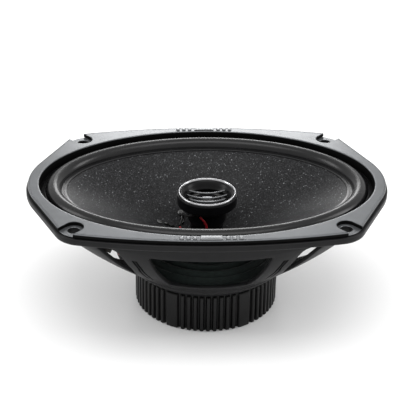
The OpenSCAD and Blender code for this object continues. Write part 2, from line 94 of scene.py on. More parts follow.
def roundCorners(profile, radius, steps=4, closed=True):
    # each corner of the profile becomes a short curve: (1-t)^2 before + 2t(1-t) corner + t^2 after
    p = np.asarray(profile, float)
    before, after = np.roll(p, 1, 0), np.roll(p, -1, 0)
    toBefore, toAfter = before - p, after - p
    lenBefore = np.linalg.norm(toBefore, axis=1, keepdims=True)
    lenAfter = np.linalg.norm(toAfter, axis=1, keepdims=True)
    r = np.broadcast_to(np.asarray(radius, float).reshape(-1, 1), (len(p), 1))
    startAt = p + toBefore / lenBefore * np.minimum(r, lenBefore * 0.45)
    endAt = p + toAfter / lenAfter * np.minimum(r, lenAfter * 0.45)
    t = np.linspace(0, 1, steps + 1)[None, :, None]
    curve = (1 - t) ** 2 * startAt[:, None] + 2 * t * (1 - t) * p[:, None] + t ** 2 * endAt[:, None]
    flat = curve.reshape(-1, 2)
    if not closed:
        flat = np.vstack([p[:1], flat[steps + 1:-(steps + 1)], p[-1:]])
    return flat


def turned(profile, sides=160):
    # a closed profile of (radius, height) carried once round the axis
    p = np.asarray(profile, float)
    angle = np.linspace(0, 2 * np.pi, sides, endpoint=False)
    points = np.stack([p[:, None, 0] * np.cos(angle), p[:, None, 0] * np.sin(angle),
                       np.broadcast_to(p[:, None, 1], (len(p), sides))], -1)
    return gridPatch(points, True, True)


def ovalSwept(profile, halfX, halfY, sides=256):
    # a closed profile of (offset, height) carried round an oval; the offset adds to both half axes
    p = np.asarray(profile, float)
    angle = np.linspace(0, 2 * np.pi, sides, endpoint=False)
    points = np.stack([(halfX + p[:, None, 0]) * np.cos(angle), (halfY + p[:, None, 0]) * np.sin(angle),
                       np.broadcast_to(p[:, None, 1], (len(p), sides))], -1)
    return gridPatch(points, True, True)


def smoothRoute(route, count):
    # Catmull-Rom curve through the given points, at even steps of its own parameter
    p = np.asarray(route, float)
    p = np.vstack([2 * p[0] - p[1], p, 2 * p[-1] - p[-2]])
    u = np.linspace(0, len(p) - 3 - 1e-9, count)
    i = u.astype(int)
    t = (u - i)[:, None]
    a, b, c, d = p[i], p[i + 1], p[i + 2], p[i + 3]
    square, cube = 2 * a - 5 * b + 4 * c - d, 3 * b - a - 3 * c + d
    return 0.5 * (2 * b + (c - a) * t + square * t ** 2 + cube * t ** 3)


def tubePatch(path, radius, sides=20, wave=None):
    # circles square to the path, with both ends closed: point = path + r (cos a * side + sin a * other);
    # wave(step, a) is the share by which the radius swells there
    along = np.gradient(path, axis=0)
    along /= np.linalg.norm(along, axis=1, keepdims=True)
    side = np.cross(along, [0.31, 0.22, 0.92])  # a direction that no lead runs along
    side /= np.linalg.norm(side, axis=1, keepdims=True)
    other = np.cross(along, side)
    angle = np.linspace(0, 2 * np.pi, sides, endpoint=False)
    r = np.broadcast_to(np.asarray(radius, float).reshape(-1, 1), (len(path), sides))
    if wave is not None:
        r = r * (1 + wave(np.arange(len(path))[:, None], angle[None, :]))
    across = np.cos(angle)[None, :, None] * side[:, None] + np.sin(angle)[None, :, None] * other[:, None]
    ring = path[:, None] + r[:, :, None] * across
    return [gridPatch(ring, False, True), capPatch(ring[0]), capPatch(ring[-1])]


def insideLoop(points, loop):
    # even-odd test of many points against one closed loop
    x, y = points[:, 0:1], points[:, 1:2]
    a, b = loop, np.roll(loop, -1, 0)
    crosses = (a[:, 1] > y) != (b[:, 1] > y)
    rise = np.where(b[:, 1] == a[:, 1], 1e-12, b[:, 1] - a[:, 1])
    at = a[:, 0] + (y - a[:, 1]) / rise * (b[:, 0] - a[:, 0])
    return ((crosses & (x < at)).sum(1) % 2) == 1


def triangles(loops, inner, gap):
    # triangles inside the first loop and outside the others, through the inner points as well;
    # points nearer than gap count as one
    links, start = [], 0
    for loop in loops:
        k = np.arange(len(loop))
        links.append(np.stack([k, (k + 1) % len(loop)], -1) + start)
        start += len(loop)
    points = [Vector(p) for p in np.vstack(loops + list(inner))]
    verts, _, faces, _, _, _ = delaunay_2d_cdt(points, np.vstack(links).tolist(), [], 0, gap)
    flat, tris = np.array([tuple(v) for v in verts]), np.array([f for f in faces if len(f) == 3])
    middle = flat[tris].mean(1)
    keep = insideLoop(middle, loops[0])
    for hole in loops[1:]:
        keep &= ~insideLoop(middle, hole)
    return flat, tris[keep]


def raised(loop, height):
    # one more column: the same height for every point, or one each
    return np.column_stack([loop, np.broadcast_to(height, len(loop))])


def flatFace(outer, holes, height):
    flat, tris = triangles([outer] + holes, [], 1e-7)
    return raised(flat, height), tris


def circleLoop(x, y, radius, count=48):
    angle = np.linspace(0, 2 * np.pi, count, endpoint=False)
    return np.stack([x + radius * np.cos(angle), y + radius * np.sin(angle)], -1)


def ovalLoop(halfX, halfY, count=256):
    angle = np.linspace(0, 2 * np.pi, count, endpoint=False)
    return np.stack([halfX * np.cos(angle), halfY * np.sin(angle)], -1)


def wallPatch(loops, heights):
    # a wall through loops that have the same number of points, one height each
    return gridPatch(np.stack([raised(l, h) for l, h in zip(loops, heights)]), False, True)


def softPad(x, y, halfX, halfY, base, top, power=4.0, edge=0.4, sides=64):
    # a rounded pad: superellipse loops that close in over a rounded edge to its middle
    angle = np.linspace(0, 2 * np.pi, sides, endpoint=False)
    c, s = np.cos(angle), np.sin(angle)
    shape = np.stack([np.sign(c) * np.abs(c) ** (2 / power), np.sign(s) * np.abs(s) ** (2 / power)], -1)
    turn = np.linspace(0, np.pi / 2, 7)
    insets = np.concatenate([[0], edge * (1 - np.cos(turn)), [halfY * 0.55]])
    heights = np.concatenate([[base], top - edge + edge * np.sin(turn), [top + 0.02]])
    middle, half = np.array([x, y]), np.array([halfX, halfY])
    rows = [raised(middle + shape * (half - i), h) for i, h in zip(insets, heights)]
    return [gridPatch(np.stack(rows), False, True), capPatch(rows[0]), capPatch(rows[-1])]


def paintFaces(piece, material, chosen):
    # gives the chosen faces one more material; chosen(middles in millimetres, normals) returns a mask
    count = len(piece.data.polygons)
    middles, normals = np.empty(count * 3, np.float32), np.empty(count * 3, np.float32)
    piece.data.polygons.foreach_get("center", middles)
    piece.data.polygons.foreach_get("normal", normals)
    slots = np.empty(count, np.int32)
    piece.data.polygons.foreach_get("material_index", slots)
    piece.data.materials.append(material)
    mask = chosen(middles.reshape(-1, 3) / mm, normals.reshape(-1, 3))
    slots[mask] = len(piece.data.materials) - 1
    piece.data.polygons.foreach_set("material_index", slots)


def weldedCopy(node, width, segments=3):
    # a merged copy of a CAD node with softened edges stands in for it
    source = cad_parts[node]
    mesh = source.data.copy()
    work = bmesh.new()
    work.from_mesh(mesh)
    bmesh.ops.remove_doubles(work, verts=work.verts, dist=1e-6)
    bmesh.ops.dissolve_limit(work, angle_limit=math.radians(1.0), verts=work.verts, edges=work.edges)
    work.to_mesh(mesh)
    work.free()
    mesh.materials.clear()
    piece = bpy.data.objects.new(node + "Soft", mesh)
    bpy.context.scene.collection.objects.link(piece)
    bevel = piece.modifiers.new("edge", "BEVEL")
    bevel.width = width * mm
    bevel.segments = segments
    bevel.limit_method = "ANGLE"
    bevel.angle_limit = math.radians(40)
    mesh.shade_smooth()
    mesh.set_sharp_from_angle(angle=math.radians(40))
    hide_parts(node)
    return piece


board = {"tilt": 28.6, "at": (-68.5, 0, -29.6), "lugY": 24.0}


def onBoard(patches):
    # from the board's own sloped space into the part's
    c, s = math.cos(math.radians(board["tilt"])), math.sin(math.radians(board["tilt"]))
    out = []
    for verts, faces in patches:
        x, y, z = verts[:, 0], verts[:, 1], verts[:, 2]
        out.append((np.array(board["at"]) + np.stack([x * c + z * s, y, -x * s + z * c], -1), faces))
    return out


def place(piece, body, node):
    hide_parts(node)
    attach(piece, body)
    return piece


def linkNoise(tree, scale, detail):
    # noise in the piece's own space
    where = tree.nodes.new("ShaderNodeTexCoord")
    noise = tree.nodes.new("ShaderNodeTexNoise")
    noise.inputs["Scale"].default_value = scale
    noise.inputs["Detail"].default_value = detail
    tree.links.new(where.outputs["Object"], noise.inputs["Vector"])
    return noise.outputs["Fac"]


def linkRange(tree, value, low, high, toLow, toHigh):
    spread = tree.nodes.new("ShaderNodeMapRange")
    spread.inputs["From Min"].default_value = low
    spread.inputs["From Max"].default_value = high
    spread.inputs["To Min"].default_value = toLow
    spread.inputs["To Max"].default_value = toHigh
    tree.links.new(value, spread.inputs["Value"])
    return spread.outputs["Result"]


def linkMath(tree, operation, first, second):
    node = tree.nodes.new("ShaderNodeMath")
    node.operation = operation
    tree.links.new(first, node.inputs[0])
    if isinstance(second, float):
        node.inputs[1].default_value = second
    else:
        tree.links.new(second, node.inputs[1])
    return node.outputs["Value"]


def linkBump(tree, value, depth):
    # depth is in millimetres
    height = tree.nodes.new("ShaderNodeBump")
    height.inputs["Distance"].default_value = depth * mm
    tree.links.new(value, height.inputs["Height"])
    tree.links.new(height.outputs["Normal"], tree.nodes["Principled BSDF"].inputs["Normal"])


def finishOf(name, color, roughness, metallic=0.0, grain=60, bump=None, mottle=0.0, coat=0.0, specular=0.5,
             roughSpread=0.0, sheen=0.0):
    # one Principled surface whose colour, roughness and height vary with noise
    material = bpy.data.materials.new(name)
    material.use_nodes = True
    tree = material.node_tree
    surface = tree.nodes["Principled BSDF"]
    surface.inputs["Base Color"].default_value = (*color, 1)
    surface.inputs["Roughness"].default_value = roughness
    surface.inputs["Metallic"].default_value = metallic
    surface.inputs["Coat Weight"].default_value = coat
    surface.inputs["Coat Roughness"].default_value = 0.15
    surface.inputs["Specular IOR Level"].default_value = specular
    surface.inputs["Sheen Weight"].default_value = sheen
    if mottle:
        cloud = linkNoise(tree, grain, 6)
        tint = tree.nodes.new("ShaderNodeVectorMath")
        tint.operation = "SCALE"
        tint.inputs[0].default_value = color
        tree.links.new(linkRange(tree, cloud, 0.3, 0.7, 1 - mottle, 1 + mottle), tint.inputs["Scale"])
        tree.links.new(tint.outputs["Vector"], surface.inputs["Base Color"])
        if roughSpread:
            rough = linkRange(tree, cloud, 0.3, 0.7, roughness - roughSpread, roughness + roughSpread)
            tree.links.new(rough, surface.inputs["Roughness"])
    if bump:
        linkBump(tree, linkNoise(tree, bump[0], 3), bump[1])
    return material


def fleckedCone(look):
    # dark body with a scatter of mica flecks, painted as bright dots that partly stand in for their glints:
    # cells of random value, where only the middle of the highest shows
    material = finishOf("flecked cone", look["base"], look["roughness"], bump=look["bump"],
                        specular=look["specular"])
    tree = material.node_tree
    shown = None
    for scale, level, bright, size in look["flakes"]:
        where = tree.nodes.new("ShaderNodeTexCoord")
        cells = tree.nodes.new("ShaderNodeTexVoronoi")
        cells.inputs["Scale"].default_value = scale
        pick = tree.nodes.new("ShaderNodeSeparateColor")
        tree.links.new(where.outputs["Object"], cells.inputs["Vector"])
        tree.links.new(cells.outputs["Color"], pick.inputs["Color"])
        strength = linkRange(tree, pick.outputs["Red"], level, 1.0, 0.0, bright)
        dot = linkMath(tree, "LESS_THAN", cells.outputs["Distance"], size)
        mix = tree.nodes.new("ShaderNodeMix")
        mix.data_type = "RGBA"
        mix.inputs[6].default_value = (*look["base"], 1)
        mix.inputs[7].default_value = (*look["flakeGlint"], 1)
        tree.links.new(linkMath(tree, "MULTIPLY", dot, strength), mix.inputs[0])
        if shown is not None:
            tree.links.new(shown, mix.inputs[6])
        shown = mix.outputs[2]
    tree.links.new(shown, tree.nodes["Principled BSDF"].inputs["Base Color"])
    return material


def wovenCloth(name, look):
    # two crossed waves give the threads of a resin-treated cloth
    material = finishOf(name, look["color"], look["roughness"], mottle=0.25, grain=400, sheen=0.2)
    tree = material.node_tree
    threads = []
    for direction in ("X", "Y"):
        where = tree.nodes.new("ShaderNodeTexCoord")
        wave = tree.nodes.new("ShaderNodeTexWave")
        wave.bands_direction = direction
        wave.inputs["Scale"].default_value = look["threads"]
        wave.inputs["Distortion"].default_value = 0.6
        tree.links.new(where.outputs["Object"], wave.inputs["Vector"])
        threads.append(wave.outputs["Fac"])
    linkBump(tree, linkMath(tree, "MULTIPLY", *threads), look["relief"])
    return material


# the mica flecks are real; the bright tint of their dots is partly a painted glint
coneLook = {"base": (0.007, 0.007, 0.0075), "flakeGlint": (0.42, 0.43, 0.45), "roughness": 0.40,
            "specular": 0.12, "bump": (900, 0.08),
            "flakes": [(2200, 0.40, 0.08, 0.6), (1900, 0.92, 0.40, 0.42), (1350, 0.962, 0.95, 0.38)]}
clothLook = {"color": (0.013, 0.023, 0.020), "roughness": 0.8, "threads": 420, "relief": 0.12}

frameBlack = finishOf("frame black", (0.007, 0.007, 0.0075), 0.42, mottle=0.25, grain=120, roughSpread=0.05,
                      bump=(1400, 0.03), specular=0.16)
# a near-black without sheen, laid on as painted shade in gaps and recesses
paintedShadeBlack = finishOf("painted shade black", (0.0015, 0.0015, 0.0015), 0.65, mottle=0.2, grain=120, specular=0.06)
ringGrey = finishOf("ring grey", (0.105, 0.110, 0.116), 0.24, metallic=0.5, mottle=0.08, grain=90,
                    bump=(2200, 0.012))
# the badge plates' own metal, also laid on the ring's bumps as a painted highlight
badgeMetalAndBumpHighlight = finishOf("badge metal and bump highlight", (0.20, 0.205, 0.21), 0.3, metallic=0.9, mottle=0.06, grain=300)
surroundRubber = finishOf("surround rubber", (0.006, 0.006, 0.0063), 0.25, mottle=0.3, grain=70,
                          roughSpread=0.04, bump=(1100, 0.04), specular=0.27)
coneFleck = fleckedCone(coneLook)
spiderCloth = wovenCloth("spider cloth", clothLook)
bootRubber = finishOf("boot rubber", (0.004, 0.004, 0.004), 0.38, mottle=0.3, grain=90, roughSpread=0.05,
                      bump=(700, 0.03), specular=0.22)
zincSteel = finishOf("zinc steel", (0.50, 0.50, 0.48), 0.36, metallic=1.0, mottle=0.1, grain=200,
                     bump=(1200, 0.01))
ferriteBlack = finishOf("ferrite", (0.035, 0.034, 0.034), 0.6, mottle=0.3, grain=300, bump=(900, 0.05))
platedMetal = finishOf("plated metal", (0.80, 0.80, 0.78), 0.22, metallic=1.0, mottle=0.05, grain=400)
eyeletMetal = finishOf("eyelet metal", (0.10, 0.10, 0.10), 0.28, metallic=0.9, mottle=0.3, grain=500)
brightChrome = finishOf("bright chrome", (0.40, 0.40, 0.41), 0.14, metallic=1.0, mottle=0.03, grain=150)
faceGrey = finishOf("face grey", (0.14, 0.144, 0.15), 0.24, metallic=0.8, mottle=0.06, grain=200,
                    bump=(2000, 0.012))
tweeterBlack = finishOf("tweeter black", (0.003, 0.003, 0.0035), 0.30, mottle=0.2, grain=160,
                        roughSpread=0.04, bump=(1600, 0.02), specular=0.12)
domeFilm = finishOf("dome film", (0.003, 0.003, 0.004), 0.28, mottle=0.1, grain=300, specular=0.3)
softBlack = finishOf("soft black", (0.014, 0.014, 0.014), 0.55, mottle=0.2, grain=300)
glueBlack = finishOf("glue black", (0.008, 0.008, 0.008), 0.18, mottle=0.2, grain=500, bump=(600, 0.1),
                     coat=0.4)
redPlastic = finishOf("red insulation", (0.26, 0.006, 0.012), 0.36, mottle=0.12, grain=400)
blackPlastic = finishOf("black insulation", (0.012, 0.012, 0.012), 0.34, mottle=0.2, grain=400)
braidMetal = finishOf("tinsel braid", (0.46, 0.30, 0.17), 0.45, metallic=0.7, mottle=0.35, grain=2500)
boardBlack = finishOf("board black", (0.028, 0.022, 0.018), 0.6, mottle=0.3, grain=260, bump=(800, 0.03))
sleeveBlue = finishOf("capacitor sleeve", (0.012, 0.022, 0.075), 0.28, mottle=0.06, grain=200, coat=0.3)
copperWire = finishOf("copper wire", (0.62, 0.26, 0.11), 0.3, metallic=1.0, mottle=0.12, grain=600)
formerFilm = finishOf("former film", (0.44, 0.27, 0.09), 0.4, mottle=0.15, grain=120)
print("materials ready")


# the outline that the flange and the trim ring share, in millimetres
flange = {"halfLength": 117.5, "halfWidth": 80.0, "endRadius": 60.0, "cornerX": 77.35, "cornerRadius": 19.5,
          "sideRadius": 390.0, "height": 4.3, "seatX": 111.3, "seatY": 75.0, "seatHeight": 1.0,
          "openingX": 104.5, "openingY": 68.7}
screws = {"x": 83.5, "y": 60.5, "hole": 3.2, "ringHole": 3.85, "pocket": 6.1, "turn": 47.0, "reach": 16.0}


def outlineQuarter(f):
    # end arc, straight run, corner arc and bowed side, each point with its outward direction
    sideY, within = f["halfWidth"] - f["sideRadius"], f["sideRadius"] - f["cornerRadius"]
    cornerY = sideY + math.sqrt(within ** 2 - f["cornerX"] ** 2)
    endX = f["halfLength"] - f["endRadius"]
    runX, runY = f["cornerX"] - endX, cornerY
    leave = math.atan2(runY, runX) - math.acos((f["endRadius"] - f["cornerRadius"]) / math.hypot(runX, runY))
    join = math.pi / 2 - math.asin(f["cornerX"] / within)
    arcs = [((endX, 0), f["endRadius"], 0, leave, 56),
            ((f["cornerX"], cornerY), f["cornerRadius"], leave, join, 84),
            ((0, sideY), f["sideRadius"], join, math.pi / 2, 92)]
    points, normals = [], []
    for centre, radius, start, stop, count in arcs:
        angle = np.linspace(start, stop, count + 1)
        n = np.stack([np.cos(angle), np.sin(angle)], -1)
        points.append(np.array(centre) + radius * n)
        normals.append(n)
    a, b = points[0][-1], points[1][0]
    t = np.linspace(0, 1, 26)[1:-1, None]
    points.insert(1, a + (b - a) * t)
    normals.insert(1, np.repeat(normals[0][-1:], 24, 0))
    p, n = np.vstack(points), np.vstack(normals)
    keep = np.concatenate([[True], np.linalg.norm(np.diff(p, axis=0), axis=1) > 1e-6])
    return p[keep], n[keep]


quarterP, quarterN = outlineQuarter(flange)
steps = len(quarterP) - 1
flipX, flipY = np.array([-1, 1]), np.array([1, -1])


def fourFold(quarter):
    # the quarter, its mirror, its half turn and the mirror of that, in one closed loop
    back = quarter[::-1]
    return np.vstack([quarter[:-1], (back * flipX)[:-1], -quarter[:-1], (back * flipY)[:-1]])


loopP, loopN = fourFold(quarterP), fourFold(quarterN)
around = len(loopP)


def outlineAt(u, inset):
    # the outline moved in by inset, at fractional places u along it
    i = np.floor(u).astype(int)
    t = (u - i)[:, None]
    p = loopP[i % around] * (1 - t) + loopP[(i + 1) % around] * t
    n = loopN[i % around] * (1 - t) + loopN[(i + 1) % around] * t
    return p - inset * n


def pocketCrossing(inset, half):
    # where the offset outline meets the two straight sides of the screw pocket
    u = np.arange(0, steps + 1, dtype=float)
    turn = math.radians(screws["turn"])
    q = outlineAt(u, inset) - np.array([screws["x"], screws["y"]])
    w = q @ np.array([-math.sin(turn), math.cos(turn)])
    outside = q @ np.array([math.cos(turn), math.sin(turn)]) > 0
    near = outside & (np.abs(w) < screws["reach"])
    return np.interp([-half, half], w[near], u[near])


def ringLoop(inset, wider):
    # the trim ring's edge: four runs of outline, joined by four U-shaped screw pockets
    half = screws["pocket"] + wider
    first, second = pocketCrossing(inset, half)
    turn = math.radians(screws["turn"])
    centre = np.array([screws["x"], screws["y"]])
    angle = turn - np.pi / 2 - np.linspace(0, np.pi, 41)
    back = centre + half * np.stack([np.cos(angle), np.sin(angle)], -1)
    legIn, legOut = outlineAt(np.array([first]), inset), outlineAt(np.array([second]), inset)
    t = np.linspace(0, 1, 8)[1:-1, None]
    pocket = np.vstack([legIn + (back[0] - legIn) * t, back, back[-1] + (legOut - back[-1]) * t])
    longRun = outlineAt(np.linspace(second, 2 * steps - second, 221), inset)
    endRun = outlineAt(np.linspace(-first, first, 181), inset)
    return np.vstack([endRun, pocket, longRun, (pocket * flipX)[::-1],
                      -endRun, -pocket, -longRun, (pocket * flipY)[::-1]])


def screwLoops(radius):
    return [circleLoop(x * screws["x"], y * screws["y"], radius) for x in (1, -1) for y in (1, -1)]


ring = {"top": 7.6, "under": 5.12, "openX": 109.2, "openY": 72.9, "skirt": 1.65, "skirtWall": 1.7,
        "baseTop": 5.0, "baseLow": 4.32, "baseX": 112.0, "baseY": 75.6, "markY": 75.65,
        "bumps": (10, 14, 18, -10, -14, -18)}


def buildTrimRing():
    top, under, skirt = ring["top"], ring["under"], ring["skirt"]
    # outer edge: inset, how much wider the pocket is, height
    rows = [(2.85, 0.65, top), (2.50, 0.35, top), (2.38, 0.35, top - 0.16), (2.12, 0.35, top - 0.16),
            (2.00, 0.35, top), (1.75, 0.35, top), (1.50, 0.20, top - 0.06), (1.30, 0.08, top - 0.22),
            (1.20, 0.0, top - 0.5), (1.20, 0.0, 5.35), (1.40, 0.0, under)]
    loops = [ringLoop(inset, wider) for inset, wider, _ in rows]
    # the inner wall runs from the top face down the skirt and up its back
    climb = [(0.9, top), (0.55, top), (0.32, top - 0.04), (0.12, top - 0.2), (0.0, top - 0.5),
             (0.0, skirt + 0.25), (0.25, skirt), (ring["skirtWall"], skirt), (ring["skirtWall"], under)]
    ovals = [ovalLoop(ring["openX"] + out, ring["openY"] + out) for out, _ in climb]
    patches = [wallPatch(loops, [r[2] for r in rows]), wallPatch(ovals, [c[1] for c in climb]),
               flatFace(loops[0], [ovals[0]], top), flatFace(loops[-1], [ovals[-1]], under)]
    # a thin base plate under it carries the screw pads
    holes, wide = screwLoops(screws["ringHole"]), screwLoops(screws["ringHole"] + 0.25)
    u = np.linspace(0, around, 721)[:-1]
    outer = [outlineAt(u, inset) for inset in (2.1, 1.9, 1.9)]
    inside = ovalLoop(ring["baseX"], ring["baseY"])
    high, low = ring["baseTop"], ring["baseLow"]
    patches += [wallPatch(outer, [high, high - 0.15, low]), wallPatch([inside, inside], [high, low]),
                flatFace(outer[0], [inside] + wide, high), flatFace(outer[-1], [inside] + holes, low)]
    patches += [wallPatch([w, h, h], [high, high - 0.2, low]) for w, h in zip(wide, holes)]
    for side in (1, -1):
        for x in ring["bumps"]:
            patches += softPad(x, side * ring["baseY"], 1.3, 1.75, top - 0.3, top + 0.85, 3.2, 0.55, 40)
    piece = meshPiece("trimRing", patches, ringGrey, 24)
    # steep and downward faces get painted shade: a deeper black than the ring
    paintFaces(piece, paintedShadeBlack, lambda at, out: (out[:, 2] < 0.3) & (at[:, 2] < top - 0.1))
    # the bumps' top faces are brighter than the ring: badge metal laid on as a painted highlight
    paintFaces(piece, badgeMetalAndBumpHighlight, lambda at, out: at[:, 2] > top + 0.1)
    return place(piece, "chassis", "trim_ring")


buildTrimRing()
for side, node in ((-1, "front_badge_plate"), (1, "rear_badge_plate")):
    plate = softPad(0, side * ring["markY"], 6.8, 2.1, 7.5, 8.4, 14.0, 0.25, 120)
    plate += softPad(0, side * ring["markY"], 6.0, 1.4, 8.3, 8.48, 14.0, 0.12, 120)
    place(meshPiece(node.replace("_", ""), plate, badgeMetalAndBumpHighlight, 24), "chassis", node)
print("trim ring ready")

# corners of the openings are (degrees from the front, share of the bowl's height)
basket = {"hub": 55.0, "topX": 108.0, "topY": 74.0, "topZ": -8.0, "lowZ": -44.0, "bulge": 5.5, "wall": 1.9,
          "edge": 0.45, "across": 1.25, "rise": 46.0, "lowest": -0.3, "highest": 1.25, "from": -50, "to": 310}
windows = {
    "front": {"corners": [(-22.1, 0.17), (22.1, 0.17), (21.4, 0.93), (-21.4, 0.93)],
              "round": [1.6, 1.6, 2.2, 2.2]},
    "end": {"corners": [(66.5, 0.08), (113.5, 0.08), (118.0, 0.3), (119.5, 0.86), (60.5, 0.86), (62.0, 0.3)],
            "round": [4.0, 4.0, 5.0, 5.0, 5.0, 5.0]},
    "slot": {"corners": [(37.4, 0.29), (38.6, 0.33), (40.1, 0.55), (40.5, 0.80), (42.6, 0.985), (33.0, 0.985),
                         (32.3, 0.80), (33.3, 0.52)],
             "round": [0.8, 0.8, 4.0, 4.0, 1.2, 4.5, 4.0, 4.0]},
}
grooves = {"lines": [[(31.4, 0.27), (30.0, 0.50), (28.75, 0.60), (28.4, 0.80)],
                     [(28.9, 0.27), (28.2, 0.50), (27.5, 0.60), (27.2, 0.80)]],
           "half": 0.55, "depth": 1.1, "lip": 0.12}


bowlSteps = 181


def bowlRing(s):
    # half length, half width and height of the bowl's outside; 0 at the hub's ledge, 1 under the flange
    k = basket
    swell = k["bulge"] * 4 * s * (1 - s)
    mid = np.stack([k["hub"] + (k["topX"] - k["hub"]) * s + swell,
                    k["hub"] + (k["topY"] - k["hub"]) * s + 0.6 * swell,
                    k["lowZ"] + (k["topZ"] - k["lowZ"]) * s], -1)
    places = [-0.3, -0.09, -0.04, 0]
    foot = np.interp(s, places, [48.2, 54.0, 54.8, 55.0])
    lower = np.stack([foot, foot, np.interp(s, places, [-51.5, -46.6, -45.4, -44])], -1)
    ends = ([k["topX"], 109.4], [k["topY"], 75.1], [k["topZ"], 0.8])
    upper = np.stack([np.interp(s, [1, k["highest"]], pair) for pair in ends], -1)
    return np.where((s < 0)[..., None], lower, np.where((s > 1)[..., None], upper, mid))


def bowlPoint(s, angle, depth):
    # a point of the bowl, depth below its outside; the angle is measured from the front
    ring = bowlRing(s)
    a, b, z = ring[..., 0] - depth, ring[..., 1] - depth, ring[..., 2] + 0.7 * depth
    return np.stack([a * np.sin(angle), -b * np.cos(angle), z], -1)


def onBowl(flat, depth):
    # from the unrolled bowl (millimetres across and up) to space
    k = basket
    turn = np.radians(flat[:, 0] / k["across"])
    return bowlPoint(flat[:, 1] / k["rise"], turn, np.broadcast_to(depth, flat.shape[:1]))


def unrolled(corners):
    return np.asarray(corners, float) * np.array([basket["across"], basket["rise"]])


def evenLoop(loop, step=0.9):
    # the closed loop again, with its long sides divided
    after = np.roll(loop, -1, 0)
    parts = np.maximum(np.ceil(np.linalg.norm(after - loop, axis=1) / step).astype(int), 1)
    return np.vstack([a + (b - a) * np.linspace(0, 1, n + 1)[:-1, None]
                      for a, b, n in zip(loop, after, parts)])


def grown(loop, amount):
    # every point moved outwards, square to the loop
    along = np.roll(loop, -1, 0) - np.roll(loop, 1, 0)
    out = np.stack([along[:, 1], -along[:, 0]], -1)
    out /= np.linalg.norm(out, axis=1, keepdims=True)
    return loop + out * amount


def signedLoop(loop):
    # the loop turned so that it runs anticlockwise
    after = np.roll(loop, -1, 0)
    return loop if (loop[:, 0] * after[:, 1] - after[:, 0] * loop[:, 1]).sum() > 0 else loop[::-1]


def aroundBowl(shape, mirrors, radii, steps, gap):
    # one opening's loop at the front and at the rear, with its mirror where there is one
    loops = []
    for centre in (0, 180):
        for mirror in mirrors:
            flat = shape * np.array([mirror, 1]) + np.array([centre * basket["across"], 0])
            loops.append(evenLoop(signedLoop(roundCorners(flat, radii, steps)), gap))
    return loops


def windowLoops():
    loops = []
    for name, mirrors in (("front", (1,)), ("end", (1,)), ("slot", (1, -1))):
        loops += aroundBowl(unrolled(windows[name]["corners"]), mirrors, windows[name]["round"], 6, 0.9)
    return loops


def grooveLoops():
    loops = []
    for line in grooves["lines"]:
        path = unrolled(line)
        along = np.gradient(path, axis=0)
        along /= np.linalg.norm(along, axis=1, keepdims=True)
        side = np.stack([-along[:, 1], along[:, 0]], -1) * grooves["half"]
        loops += aroundBowl(np.vstack([path + side, (path - side)[::-1]]), (1, -1), 0.35, 3, 1.2)
    return loops


def skinWithHoles(loops, depth):
    # the unrolled skin, cut by the loops and filled with triangles, then rolled up at one depth
    k = basket
    left, right = k["from"] * k["across"], k["to"] * k["across"]
    low, high = k["lowest"] * k["rise"], k["highest"] * k["rise"]
    columns, rows = np.linspace(left, right, bowlSteps), np.linspace(low, high, 56)
    bends = np.array([-0.09, -0.065, -0.04, -0.02, 0.0, 1.0]) * k["rise"]
    rows = np.unique(np.concatenate([rows, bends]))
    sides = rows[1:-1]
    border = np.vstack([raised(columns, low), raised(np.full(len(sides), right), sides),
                        raised(columns[::-1], high), raised(np.full(len(sides), left), sides[::-1])])
    gridX, gridY = np.meshgrid(columns[1:-1], sides)
    inner = np.column_stack([gridX.ravel(), gridY.ravel()])
    keep = np.ones(len(inner), bool)
    for loop in loops:
        near = (np.abs(inner - loop.mean(0)) < np.ptp(loop, axis=0) / 2 + 1.5).all(1) & keep
        if near.any():
            away = np.linalg.norm(inner[near][:, None] - loop[None], axis=2).min(1)
            keep[near] = ~((away < 0.8) | insideLoop(inner[near], loop))
    flat, tris = triangles([border] + loops, [inner[keep]], 1e-6)
    return onBowl(flat, depth), tris


